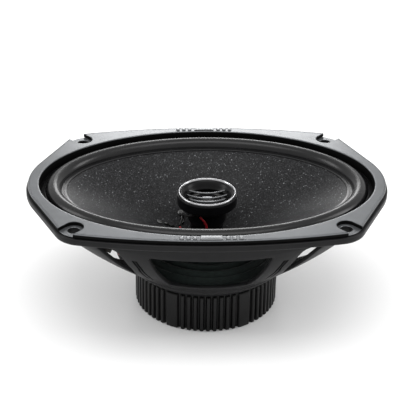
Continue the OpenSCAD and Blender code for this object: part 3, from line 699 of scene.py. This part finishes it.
def buildBasket():
    f = flange
    holes = screwLoops(screws["hole"])
    u = np.linspace(0, around, 961)[:-1]
    # flange edge: inset and height
    edge = [(2.2, 4.3), (1.0, 4.28), (0.45, 4.15), (0.12, 3.85), (0.0, 3.4), (0.0, 1.2), (0.10, 0.75),
            (0.35, 0.35), (0.8, 0.08), (1.3, 0.0)]
    loops = [outlineAt(u, inset) for inset, _ in edge]
    seat = [(f["seatX"], f["seatY"], f["height"]), (f["seatX"], f["seatY"], f["seatHeight"]),
            (f["openingX"], f["openingY"], f["seatHeight"]), (f["openingX"], f["openingY"], 0.0)]
    seatLoops = [ovalLoop(a, b) for a, b, _ in seat]
    patches = [wallPatch(loops, [e[1] for e in edge]), wallPatch(seatLoops, [q[2] for q in seat]),
               flatFace(loops[0], [seatLoops[0]] + holes, f["height"]),
               flatFace(loops[-1], [seatLoops[-1]] + holes, 0.0)]
    patches += [wallPatch([h, h], [f["height"], 0.0]) for h in holes]

    # walls of the openings: how far the loop is grown, and the depth
    wall, soft, lip = basket["wall"], basket["edge"], grooves["lip"]
    rounded = [(soft, 0.0), (soft * 0.45, soft * 0.12), (soft * 0.12, soft * 0.45), (0.0, soft),
               (0.0, wall - soft), (soft * 0.12, wall - soft * 0.45), (soft * 0.45, wall - soft * 0.12),
               (soft, wall)]
    channel = [(lip, 0.0), (0.0, lip), (-0.08, grooves["depth"])]
    openings, cuts = windowLoops(), grooveLoops()
    for loop, rows in [(o, rounded) for o in openings] + [(c, channel) for c in cuts]:
        patches.append(gridPatch(np.stack([onBowl(grown(loop, g), d) for g, d in rows]), False, True))
    for loop in cuts:
        flat, tris = flatFace(grown(loop, channel[-1][0]), [], 0.0)
        patches.append((onBowl(flat[:, :2], grooves["depth"]), tris))
    wider = [grown(loop, soft) for loop in openings]
    patches.append(skinWithHoles(wider + [grown(loop, lip) for loop in cuts], 0.0))
    patches.append(skinWithHoles(wider, wall))
    rimAngles = np.linspace(basket["from"], basket["to"], bowlSteps) * basket["across"]
    for end in (basket["lowest"], basket["highest"]):
        rim = raised(rimAngles, end * basket["rise"])
        patches.append(gridPatch(np.stack([onBowl(rim, 0.0), onBowl(rim, wall)])))

    # rear plate, spider ledge and the lugs under the terminal board
    rearPlate = [(22, -51.5), (47.8, -51.5), (47.8, -49.0), (22, -49.0)]
    ledge = [(46.5, -50.4), (48.4, -50.4), (53.2, -46.6), (53.2, -43.3), (46.5, -43.3)]
    patches += [turned(roundCorners(rearPlate, 0.3, 3), 192), turned(roundCorners(ledge, 0.4, 3), 192)]
    for side in (1, -1):
        patches += onBoard(softPad(0, side * board["lugY"], 3.2, 6.0, -3.1, -1.2, 6, 0.3, 64))
    return place(meshPiece("basketFrame", patches, frameBlack, 32, 2e-6), "chassis", "basket")


buildBasket()
print("basket ready")

surround = {"crestX": 99.85, "crestY": 63.95, "roll": 5.45, "lipTop": 1.6, "thick": 0.75, "shadeFrom": 5.7}


def radialWeights(piece, innerX, innerY, outerX, outerY):
    # works out a share, 1 at the inner edge and 0 at the outer edge with a smooth turn between; the share is
    # not stored or used
    count = len(piece.data.vertices)
    flat = np.empty(count * 3, np.float32)
    piece.data.vertices.foreach_get("co", flat)
    xy = flat.reshape(-1, 3)[:, :2] / mm
    inner = np.hypot(xy[:, 0] / innerX, xy[:, 1] / innerY)
    outer = np.hypot(xy[:, 0] / outerX, xy[:, 1] / outerY)
    t = np.clip((1 - outer) / np.maximum((1 - outer) + (inner - 1), 1e-6), 0, 1)
    t = np.where(inner <= 1, 1, np.where(outer >= 1, 0, t))


def buildSurround():
    k = surround
    x, y, roll, lip = k["crestX"], k["crestY"], k["roll"], k["lipTop"]
    inside = roll - k["thick"]
    turn = np.linspace(0, np.pi, 41)
    over = np.stack([roll * np.cos(turn), lip - 0.3 + roll * np.sin(turn)], -1)
    under = np.stack([inside * np.cos(turn), 1.0 + inside * np.sin(turn)], -1)[::-1]
    outerFoot = [(10.8, 1.0), (10.8, lip - 0.1), (10.6, lip), (6.4, lip), (5.8, lip + 0.02)]
    innerFoot = [(-5.8, lip + 0.02), (-6.4, lip), (-8.1, lip), (-8.4, lip - 0.15), (-8.4, 1.02)]
    profile = np.vstack([outerFoot, over[1:-1], innerFoot, under])
    piece = meshPiece("surroundRoll", [ovalSwept(profile, x, y, 288)], surroundRubber, 40)
    # the rubber's outer lip, in the recess under the trim ring, gets painted shade: a deeper black than the
    # rubber
    shadeEdgeX, shadeEdgeY = x + k["shadeFrom"], y + k["shadeFrom"]
    paintFaces(piece, paintedShadeBlack, lambda at, out: np.hypot(at[:, 0] / shadeEdgeX, at[:, 1] / shadeEdgeY) > 1)
    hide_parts("surround")
    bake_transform(piece)
    radialWeights(piece, x - roll, y - roll, x + roll, y + roll)
    return piece


buildSurround()

coneShape = {"neckRadius": 13.2, "neckZ": -33.3, "depth": 34.3, "flare": 1.15, "rimX": 94.25, "rimY": 58.35,
             "rimWidth": 3.0, "thick": 0.75}


def conePoint(t, angle, drop=0.0):
    k = coneShape
    a = k["neckRadius"] + (k["rimX"] - k["rimWidth"] - k["neckRadius"]) * t
    b = k["neckRadius"] + (k["rimY"] - k["rimWidth"] - k["neckRadius"]) * t
    z = k["neckZ"] + k["depth"] * (1 - np.maximum(1 - t, 0) ** k["flare"]) - drop
    return np.stack([a * np.cos(angle), b * np.sin(angle), z + 0 * a * angle], -1)


def buildCone():
    angle = np.linspace(0, 2 * np.pi, 288, endpoint=False)[None]
    t = np.linspace(0, 1, 60)[:, None]
    front = conePoint(t, angle)
    k = coneShape
    back = conePoint(t, angle, k["thick"]) + 0.3 * np.stack([np.cos(angle), np.sin(angle), 0 * angle], -1)
    edge = ((0.2, 1.0), (0, 0.9), (0, 0.3))
    rim = np.stack([raised(ovalLoop(k["rimX"] - e, k["rimY"] - e, 288), z) for e, z in edge])
    points = np.concatenate([front, rim, back[::-1]])
    piece = meshPiece("coneShell", [gridPatch(points, True, True)], coneFleck, 40)
    return place(piece, "woofer_cone", "cone")


buildCone()


cloth = {"level": -38.5, "pitch": 7.3, "height": 1.5, "from": 17.0, "to": 46.5, "foot": -42.7, "thick": 0.5}


def buildSpider():
    # corrugations z = level + height sin(2 pi (r - from) / pitch), then a slope down to the ledge
    k = cloth
    r = np.concatenate([np.linspace(13.3, 48.6, 130), np.linspace(49, 53, 8)])
    wave = k["level"] + k["height"] * np.sin(2 * np.pi * (r - k["from"]) / k["pitch"])
    slope = np.maximum(k["foot"], k["level"] - 1.9 * (r - k["to"]))
    z = np.where(r < k["from"], k["level"], np.where(r < k["to"], wave, slope))
    z = np.convolve(np.pad(z, 1, mode="edge"), [0.25, 0.5, 0.25], "valid")
    profile = np.vstack([np.stack([r, z], -1), np.stack([r, z - k["thick"]], -1)[::-1]])
    piece = meshPiece("spiderCloth", [turned(profile, 192)], spiderCloth, 50)
    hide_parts("spider")
    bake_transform(piece)
    radialWeights(piece, 15, 15, 47, 47)
    return piece


buildSpider()
print("cone and suspension ready")

coil = {"turns": 34, "low": -59, "high": -49, "inside": 13.12, "outside": 13.55, "wire": 0.13}
former = turned([(12.92, -61), (13.1, -61), (13.1, -32.7), (12.92, -32.7)], 128)
place(meshPiece("voiceCoilFormer", [former], formerFilm), "woofer_cone", "voice_coil_former")
heights = np.linspace(coil["low"], coil["high"], coil["turns"] * 6)
share = (heights - coil["low"]) / (coil["high"] - coil["low"])
ridges = coil["outside"] + coil["wire"] * np.abs(np.sin(share * coil["turns"] * np.pi))
bore = [(coil["inside"], coil["high"]), (coil["inside"], coil["low"])]
winding = turned(np.vstack([np.stack([ridges, heights], -1), bore]), 96)
place(meshPiece("voiceCoilWinding", [winding], copperWire, 60), "woofer_cone", "voice_coil_winding")

boot = {"low": -79.3, "height": 27.3, "rib": 47.6, "groove": 45.5, "bore": 43.6, "opening": 24.0,
        "ribStep": 5.2, "ribHalf": 1.55, "wideRibHalf": 5.1}


def buildBoot():
    # narrow ribs and one wide rib in each sixth of a turn
    k = boot
    count = 1440
    angle = np.linspace(0, 360, count, endpoint=False)
    within = (angle + 30) % 60 - 30
    ribs = 1 / (1 + (np.abs(within) / k["wideRibHalf"]) ** 26)
    for turn in k["ribStep"] * np.arange(-4, 5) + 30:
        away = np.abs((within - turn + 30) % 60 - 30)
        ribs = np.maximum(ribs, 1 / (1 + (away / k["ribHalf"]) ** 8))
    # from the rear opening, round the outside and down into the bore: radius, height, share of the rib
    low, top, g = k["low"], k["low"] + k["height"], k["groove"]
    rows = [(k["opening"], low + 0.3, 0), (k["opening"] + 0.3, low, 0), (42.0, low, 0), (g - 0.5, low, 0.2),
            (g - 0.15, low + 0.12, 0.75), (g - 0.03, low + 0.35, 0.95), (g, low + 0.7, 1), (g, low + 8, 1),
            (g, low + 16, 1), (g, top - 3.4, 1), (g, top - 2.6, 0.97), (g, top - 2.0, 0.86),
            (g, top - 1.55, 0.62), (g, top - 1.25, 0.3), (g, top - 1.1, 0), (g, top - 0.3, 0),
            (g - 0.1, top - 0.1, 0), (g - 0.3, top, 0), (k["bore"] + 0.3, top, 0), (k["bore"], top - 0.3, 0),
            (k["bore"], low + 2.7, 0), (k["opening"], low + 2.7, 0)]
    data = np.array(rows)
    radius = data[:, 0:1] + data[:, 2:3] * (k["rib"] - k["groove"]) * ribs[None]
    a = np.radians(angle)[None]
    height = np.broadcast_to(data[:, 1:2], radius.shape)
    points = np.stack([radius * np.cos(a), radius * np.sin(a), height], -1)
    piece = meshPiece("magnetBoot", [gridPatch(points, True, True)], bootRubber, 50)
    return place(piece, "chassis", "magnet_boot")


buildBoot()


def ringPiece(name, profile, material, body, node, soften=0.3, sides=160):
    piece = meshPiece(name, [turned(roundCorners(profile, soften, 4), sides)], material, 26)
    return place(piece, body, node)


ferrite = [(17.5, -71.5), (43.4, -71.5), (43.4, -56.5), (17.5, -56.5)]
ringPiece("ferriteRing", ferrite, ferriteBlack, "chassis", "ferrite_magnet", 0.5)
print("motor ready")

housing = [(4, -20.3), (12.75, -20.3), (12.75, -9.5), (19.0, -9.5), (19.6, -8.9), (19.6, -2.6), (17.5, -2.6),
           (17.5, -8.6), (11.65, -8.6), (11.65, -18.0), (4, -18.0)]
ringPiece("tweeterHousing", housing, tweeterBlack, "chassis", "tweeter_housing", 0.3)
chrome = [(17.5, -2.6), (19.05, -2.6), (19.05, -1.6), (18.65, -0.75), (18.05, -0.75), (17.5, -1.7)]
chrome = roundCorners(chrome, [0.1, 0.15, 0.5, 0.25, 0.25, 0.5], 5)
place(meshPiece("tweeterTrimRing", [turned(chrome, 192)], brightChrome, 60), "chassis", "tweeter_trim_ring")


face = {"level": -6.3, "rise": 2.7, "mouth": 13.0, "barHalf": 0.6, "bars": (-6, 0, 6)}


def buildFace():
    # a horn with three bars across it, z = level + rise (x^2 + y^2) / mouth^2
    level, mouth = face["level"], face["mouth"]
    throat = [(17.4, -1.5), (16.9, -1.45), (16.0, -2.1), (14.9, -3.4), (13.9, -5.0), (13.05, -6.0),
              (13.0, -6.8), (14.2, -6.4), (16.1, -4.6), (16.1, -8.5), (17.4, -8.5)]
    patches = [turned(roundCorners(throat, 0.35, 4), 192)]
    turn = np.linspace(0, 2 * np.pi, 32, endpoint=False)
    c, d = np.cos(turn), np.sin(turn)
    sectionY = face["barHalf"] * np.sign(c) * np.abs(c) ** 0.6
    sectionZ = face["barHalf"] * np.sign(d) * np.abs(d) ** 0.6
    for y in face["bars"]:
        reach = math.sqrt((mouth + 0.7) ** 2 - y * y)
        x = np.linspace(-reach, reach, 60)[:, None]
        z = level + face["rise"] * (x ** 2 + y ** 2) / mouth ** 2
        ring = np.stack([x + 0 * sectionY, y + sectionY + 0 * x, z + sectionZ], -1)
        patches += [gridPatch(ring, False, True), capPatch(ring[0]), capPatch(ring[-1])]
    patches += softPad(0, 0, 3.3, 1.2, level - 0.2, level + 1.0, 5, 0.35, 64)
    piece = meshPiece("tweeterFace", patches, tweeterBlack, 40)
    paintFaces(piece, faceGrey, lambda at, out: np.hypot(at[:, 0], at[:, 1]) < mouth)
    return place(piece, "chassis", "tweeter_face")


buildFace()

# a dome of one sphere, radius = (half width^2 + rise^2) / (2 rise)
domeShape = {"half": 10.05, "rise": 1.1, "foot": -8.5, "thick": 0.22, "rollAt": 11.3}
sphere = (domeShape["half"] ** 2 + domeShape["rise"] ** 2) / (2 * domeShape["rise"])
out = np.linspace(0, math.asin(domeShape["half"] / sphere), 28)
crown = domeShape["foot"] + domeShape["rise"] - sphere * (1 - np.cos(out))
domeTop = np.stack([sphere * np.sin(out), crown], -1)
dome = np.vstack([domeTop, (domeTop - [0, domeShape["thick"]])[::-1]])
place(meshPiece("tweeterDome", [turned(dome, 128)], domeFilm, 60), "tweeter_diaphragm", "tweeter_dome")
bend = np.linspace(0, np.pi, 15)
crest = np.stack([domeShape["rollAt"] + 1.12 * np.cos(bend), -8.35 + 0.8 * np.sin(bend)], -1)
ripple = np.vstack([[(13.4, -8.6), (13.4, -8.35)], crest, (crest - [0, domeShape["thick"]])[::-1][1:-1]])
suspension = meshPiece("tweeterSuspension", [turned(ripple, 128)], softBlack, 60)
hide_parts("tweeter_suspension")
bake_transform(suspension)
radialWeights(suspension, 10.2, 10.2, 12.5, 12.5)


def buildClamp():
    band = [(12.85, -10.5), (14.7, -10.5), (14.7, -9.5), (12.85, -9.5)]
    patches = [turned(roundCorners(band, 0.25, 3), 128)]
    for side in (-1, 1):
        patches += softPad(side * 14.9, -1, 1.2, 1.1, -11.1, -9.5, 5, 0.25, 40)
    return place(meshPiece("tweeterClamp", patches, platedMetal, 30), "chassis", "tweeter_clamp_ring")


buildClamp()
post = [(0.0, -51.5), (10.9, -51.5), (10.9, -24.0), (12.65, -20.35), (0.0, -20.35)]
postProfile = roundCorners(post, [0.01, 0.3, 1.5, 0.15, 0.01], 5)
place(meshPiece("tweeterPost", [turned(postProfile, 160)], tweeterBlack, 30), "chassis", "tweeter_post")
print("tweeter ready")

# where each eyelet sits: share of the way from neck to rim, degrees
eyeletPlaces = [(0.184, 128.2), (0.232, 177.0)]


def coneFrame(t, degrees):
    # a point of the cone with its outward direction and two directions along the surface
    angle = np.radians(degrees)
    here = conePoint(np.array(t), np.array(angle))
    up = conePoint(np.array(t + 0.01), np.array(angle)) - here
    beside = conePoint(np.array(t), np.array(angle + 0.01)) - here
    n = np.cross(up, beside)
    n /= np.linalg.norm(n)
    n *= np.sign(n[2])
    u = up / np.linalg.norm(up)
    return here, n, u, np.cross(n, u)


def buildEyelets():
    # each is a flanged tube with solder in its mouth
    tube = [(0.7, -1.8), (1.9, -1.8), (1.9, -1.35), (1.15, -1.2), (1.15, 0.15), (2.1, 0.15), (2.1, 0.55),
            (0.7, 0.75)]
    solder = np.array([(0.0, 0.85), (0.55, 0.75), (0.95, 0.45), (0.95, -1.9), (0.0, -2.1)])
    patches = []
    for t, degrees in eyeletPlaces:
        here, n, u, v = coneFrame(t, degrees)
        for verts, faces in (turned(roundCorners(tube, 0.15, 3), 48), turned(solder, 32)):
            patches.append((here + verts[:, 0:1] * u + verts[:, 1:2] * v + verts[:, 2:3] * n, faces))
    return place(meshPiece("coneEyelets", patches, eyeletMetal, 40), "woofer_cone", "cone_eyelets")


buildEyelets()


def buildDressing():
    # a bead of adhesive laid from each eyelet towards the neck, a little uneven
    patches = []
    for t0, a0, t1, a1 in ((0.08, 171.5, 0.195, 176), (0.07, 146, 0.145, 131)):
        k = np.linspace(0, 1, 40)
        t, a = t0 + (t1 - t0) * k, np.radians(a0 + (a1 - a0) * k)
        path = conePoint(t, a) + np.array([0.2, 0, 0.45])
        size = 0.95 + 0.12 * np.sin(k * 17) - 0.35 * (np.abs(k - 0.5) * 2) ** 6
        patches += tubePatch(path, size, 20)
    return place(meshPiece("leadDressing", patches, glueBlack, 60), "woofer_cone", "lead_dressing")


buildDressing()

# material, radius and route of each lead, from the frame to what moves
leadRoutes = {
    "tinsel_lead_positive": (braidMetal, 0.62, [
        (-62.5, -13.4, -29.5), (-57, -12.4, -31.3), (-50, -9.8, -33.2), (-43, -5.2, -33.2),
        (-36.8, -0.6, -30.2), (-32.5, 1.2, -26.8)]),
    "tinsel_lead_negative": (braidMetal, 0.62, [
        (-62.5, -1.9, -29.5), (-56, 1.5, -31.6), (-46, 6.5, -33.6), (-36, 12, -33.3), (-24.5, 17, -30.8),
        (-17.9, 17.9, -28.4)]),
    "tweeter_feed_red": (redPlastic, 0.75, [
        (-62.5, -15.6, -29.5), (-59.6, -17.2, -30.9), (-58.6, -19, -34.2), (-56.8, -19.2, -37),
        (-51.5, -16.4, -37.3), (-45.5, -11, -34.6), (-40, -6, -29.6), (-35, -2.2, -24.3)]),
    "tweeter_feed_black": (blackPlastic, 0.75, [
        (-62.5, -4.1, -29.5), (-57, -2.2, -29.8), (-50, 2, -29.6), (-44, 5, -28.2), (-39, 5.6, -25.8),
        (-36, 5.2, -23.9)]),
    "tweeter_wire_red": (redPlastic, 0.75, [
        (-5, -15.3, -11.6), (-2, -15.4, -15.6), (-0.8, -14.8, -20.6), (-5, -14, -25), (-11.6, -10.6, -27.6),
        (-16.2, -4.2, -29.4), (-17.6, 2.6, -29.2)]),
    "tweeter_wire_black": (blackPlastic, 0.75, [
        (-9.6, -13, -11.6), (-13.2, -8.2, -14.6), (-15.4, 0.2, -17.6), (-15.2, 7.6, -22), (-15.8, 9.6, -26.2),
        (-17.8, 4.8, -29)]),
}


def twisted(i, angle):
    # strands that wind round the lead
    return 0.10 * np.abs(np.sin(2 * angle + i * 0.35)) - 0.05


for node, (material, radius, route) in leadRoutes.items():
    path = smoothRoute(route, 120)
    patches = tubePatch(path, radius, 24, twisted if "tinsel" in node else None)
    piece = meshPiece("lead" + node.title().replace("_", ""), patches, material, 50)
    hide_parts(node)
    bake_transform(piece)


def buildCapacitor():
    # a can with a crimp near one end, lying on the board
    can = [(0, 0), (3.5, 0), (4.1, 0.5), (4.1, 1.6), (3.85, 2.0), (4.1, 2.5), (4.1, 14.5), (3.6, 15.0),
           (0, 15.0)]
    verts, faces = turned(roundCorners(can, [0.01, 0.2, 0.3, 0.2, 0.2, 0.2, 0.3, 0.3, 0.01], 4), 64)
    body = np.stack([verts[:, 0] - 0.5, verts[:, 2] + 3, verts[:, 1] + 5.4], -1)
    piece = meshPiece("crossoverCapacitor", onBoard([(body, faces)]), sleeveBlue, 30)
    return place(piece, "chassis", "crossover_capacitor")


buildCapacitor()
# these pieces keep the part's own shape, with their edges rounded by the given width
keptShapes = {
    "terminal_board": (boardBlack, 0.25), "terminal_positive": (platedMetal, 0.12),
    "terminal_negative": (platedMetal, 0.12), "terminal_rivets": (zincSteel, 0.2),
    "top_plate": (zincSteel, 0.3), "t_yoke": (zincSteel, 0.3), "motor_rivets": (zincSteel, 0.4),
    "post_screw": (zincSteel, 0.3), "tweeter_cup": (zincSteel, 0.2), "tweeter_pole_plate": (zincSteel, 0.2),
    "tweeter_magnet": (ferriteBlack, 0.25),
}
for node, (material, width) in keptShapes.items():
    piece = weldedCopy(node, width)
    piece.data.materials.append(material)
    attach(piece, "chassis")
tweeterCoil = roundCorners([(9.65, -12.6), (10.05, -12.6), (10.05, -8.52), (9.65, -8.52)], 0.08, 2)
place(meshPiece("tweeterCoil", [turned(tweeterCoil, 96)], copperWire), "tweeter_diaphragm", "tweeter_coil")
print("leads and terminals ready")

# lights: place, width, depth and power; all look at the origin
studio = {"floor": 0.9, "floorHalf": 6, "floorZ": -0.0794, "sky": 0.97,
          "boxes": {"rearBox": ((0.06, 1.5, 0.57), 0.5, 0.35, 3.7), "topBox": ((0, -0.4, 2.0), 1.7, 0.9, 14),
                    "leftBox": ((-1.4, 0.1, 0.9), 0.5, 0.8, 7), "rightBox": ((1.4, 0.1, 0.9), 0.5, 0.8, 7)}}
floorMesh = bpy.data.meshes.new("floor")
corners = [(x * studio["floorHalf"], y * studio["floorHalf"], studio["floorZ"])
           for x, y in ((-1, -1), (1, -1), (1, 1), (-1, 1))]
floorMesh.from_pydata(corners, [], [(0, 1, 2, 3)])
floor = bpy.data.objects.new("floor", floorMesh)
bpy.context.scene.collection.objects.link(floor)
pale = bpy.data.materials.new("pale floor")
pale.use_nodes = True
paleInputs = pale.node_tree.nodes["Principled BSDF"].inputs
paleInputs["Base Color"].default_value = (*[studio["floor"]] * 3, 1)
paleInputs["Roughness"].default_value = 0.9
paleInputs["Specular IOR Level"].default_value = 0.1
floorMesh.materials.append(pale)

world = bpy.data.worlds.new("studio")
bpy.context.scene.world = world
world.use_nodes = True
world.node_tree.nodes["Background"].inputs["Color"].default_value = (1, 1, 1, 1)
world.node_tree.nodes["Background"].inputs["Strength"].default_value = studio["sky"]
bpy.context.scene.view_settings.view_transform = "Standard"

for name, (at, width, depth, power) in studio["boxes"].items():
    light = bpy.data.lights.new(name, "AREA")
    light.shape, light.size, light.size_y, light.energy = "RECTANGLE", width, depth, power
    lamp = bpy.data.objects.new(name, light)
    lamp.location = at
    lamp.rotation_mode = "QUATERNION"
    lamp.rotation_quaternion = (-Vector(at)).to_track_quat("-Z", "Y")
    bpy.context.scene.collection.objects.link(lamp)

view = {"eye": (-0.0310, -0.7633, 0.4089), "target": (0.00067, 0, -0.01335), "roll": 0.89, "lens": 114.72}
camera = bpy.data.cameras.new("camera")
camera.sensor_width, camera.lens = 36.0, view["lens"]
camera.clip_start, camera.clip_end = 0.05, 20
eye, lean = Vector(view["eye"]), math.radians(view["roll"])
forward = (Vector(view["target"]) - eye).normalized()
level = forward.cross(Vector((0, 0, 1))).normalized()
upward = level.cross(forward)
right = level * math.cos(lean) + upward * math.sin(lean)
upright = upward * math.cos(lean) - level * math.sin(lean)
shot = bpy.data.objects.new("camera", camera)
shot.matrix_world = Matrix((right, upright, -forward)).transposed().to_4x4()
shot.location = eye
bpy.context.scene.collection.objects.link(shot)
bpy.context.scene.camera = shot
print("studio ready")
